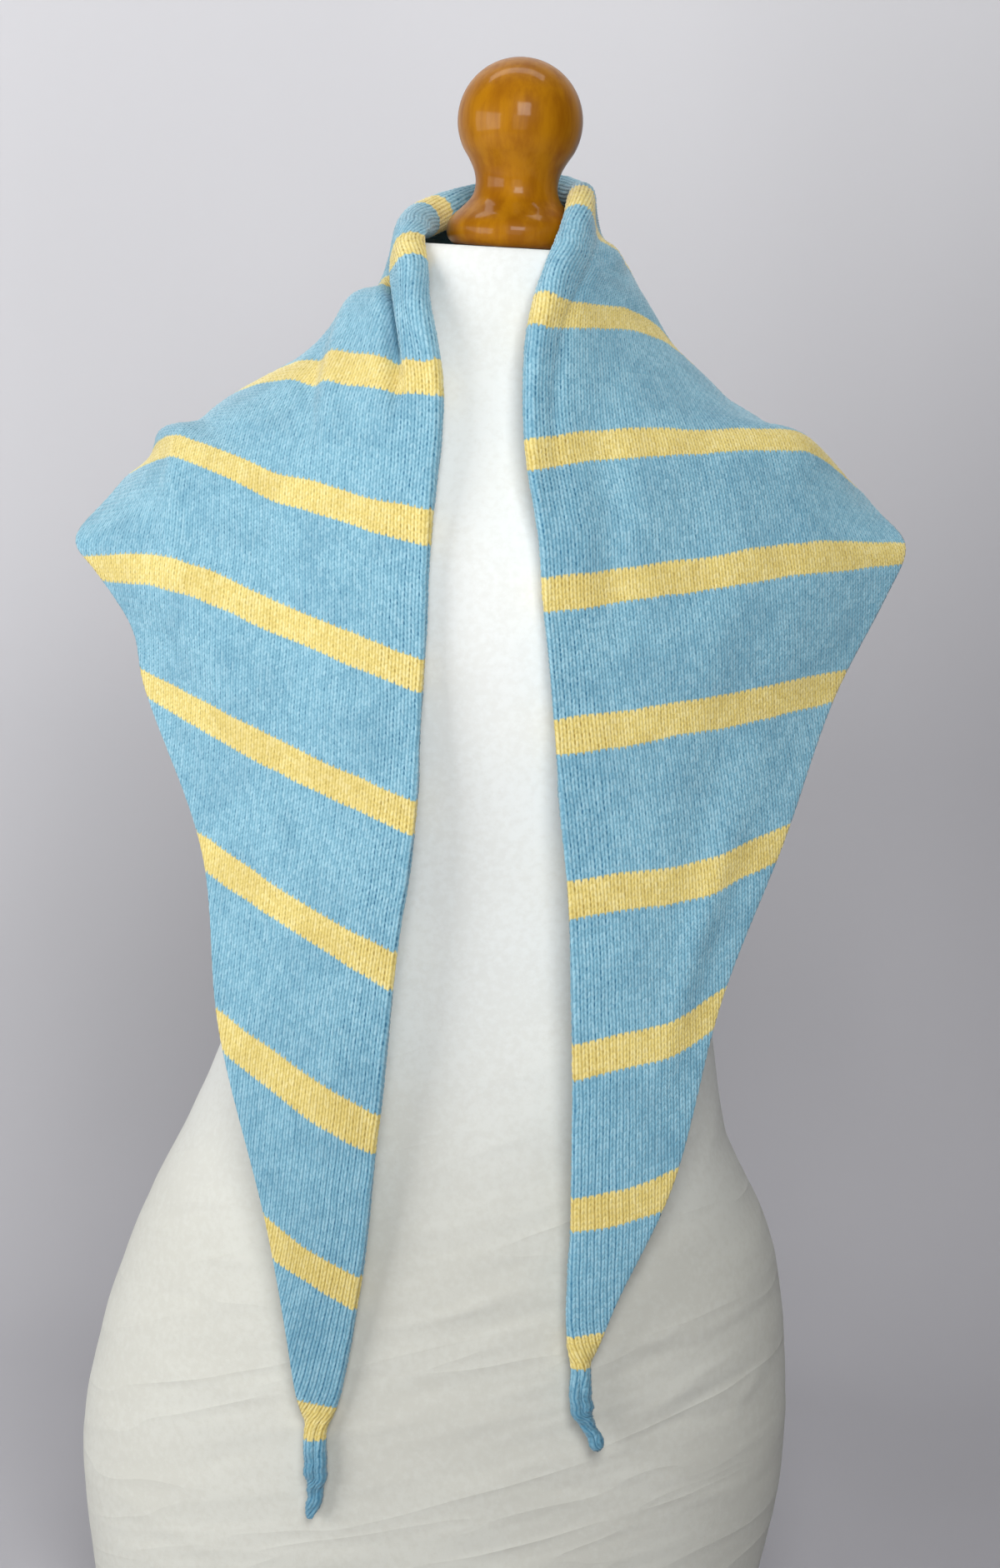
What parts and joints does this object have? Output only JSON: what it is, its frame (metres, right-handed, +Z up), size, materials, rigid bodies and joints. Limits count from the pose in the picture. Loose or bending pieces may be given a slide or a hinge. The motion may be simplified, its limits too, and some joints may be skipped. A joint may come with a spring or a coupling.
{
  "type": "neckerchief on a dress form",
  "caption": "Striped knitted triangular neckerchief laid round the neck of a limbless dress form with a turned wooden finial, both points hanging in front.",
  "frame": {"origin": "middle of the dress form's flat base, on the surface it stands on", "axes": "+Z up, the front faces -Y, +X is the form's own left"},
  "size_m": [0.4675, 0.2566, 0.9542],
  "materials": {
    "calico": "plain woven cotton cover, matte",
    "varnished_wood": "glossy orange-brown varnish over turned wood",
    "knitted_wool": "soft stocking stitch in pale blue with narrow pale yellow stripes"
  },
  "bodies": {
    "root": {"form_torso": "calico", "finial": "varnished_wood", "right_front": "knitted_wool", "right_shoulder": "knitted_wool", "nape_and_back": "knitted_wool", "left_shoulder": "knitted_wool", "left_front": "knitted_wool", "right_point": "knitted_wool", "left_point": "knitted_wool"}
  },
  "joints": []
}
